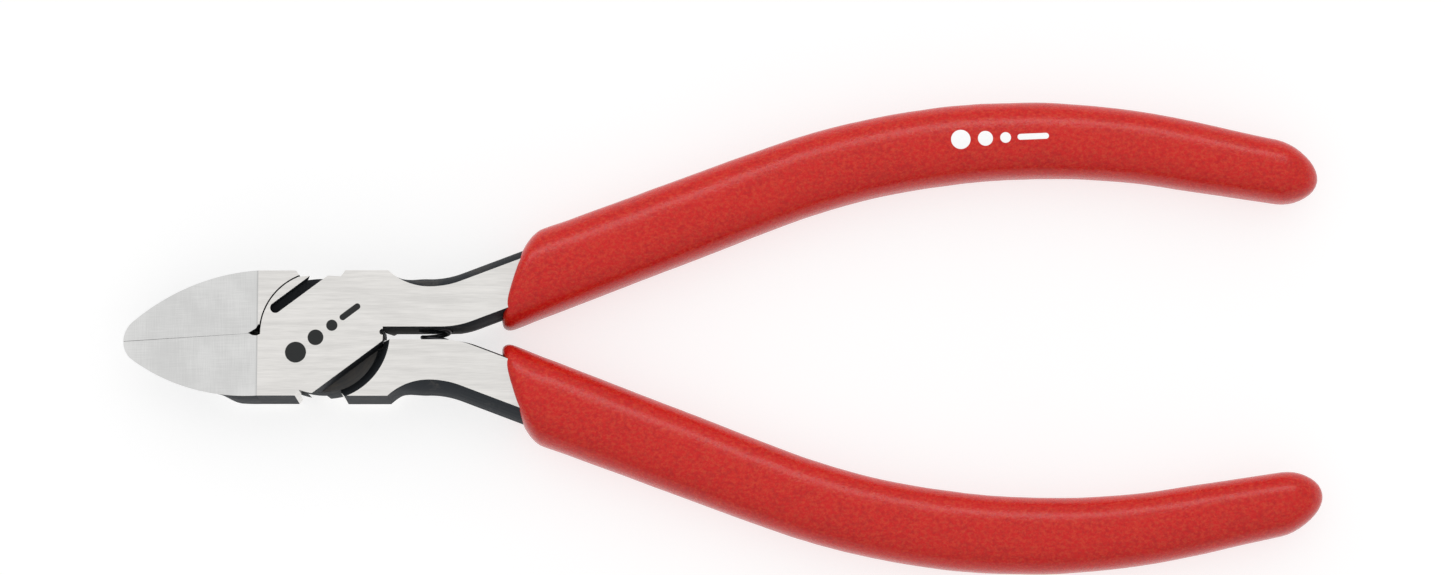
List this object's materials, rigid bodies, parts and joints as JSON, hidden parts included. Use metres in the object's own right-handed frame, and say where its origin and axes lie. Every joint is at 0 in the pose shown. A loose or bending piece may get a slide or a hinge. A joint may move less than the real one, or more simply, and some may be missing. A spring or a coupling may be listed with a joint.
{
  "type": "flush cutter",
  "caption": "Diagonal flush cutter: two lapped forged steel halves on a flush rivet, a coil opening spring and red dipped handle grips.",
  "frame": {"origin": "on the pivot axis, in the plane of the joint's back face", "axes": "+X from the jaws to the handles, +Y to the upper handle, +Z out of the flush face along the pivot axis"},
  "size_m": [0.16, 0.0636, 0.0114],
  "materials": {
    "forged_steel": "ground bright faces, dark forged sides",
    "rivet_steel": "ground flush",
    "spring_wire": "dark drawn spring wire",
    "grip_coat": "dip-moulded soft vinyl, finely mottled satin"
  },
  "bodies": {
    "rear_body": {"rear_half": "forged_steel", "lower_grip": "grip_coat", "opening_spring": "spring_wire"},
    "front_body": {"front_half": "forged_steel", "pivot_rivet": "rivet_steel", "upper_grip": "grip_coat"}
  },
  "joints": [
    {"name": "pivot", "type": "hinge", "parent": "rear_body", "child": "front_body", "pos_m": [0, 0, 0], "axis": [0, 0, 1], "range_deg": [0, 35], "stiffness_Nm_per_rad": 0.8, "springref_deg": 14.32, "deforming": ["opening_spring"]}
  ]
}
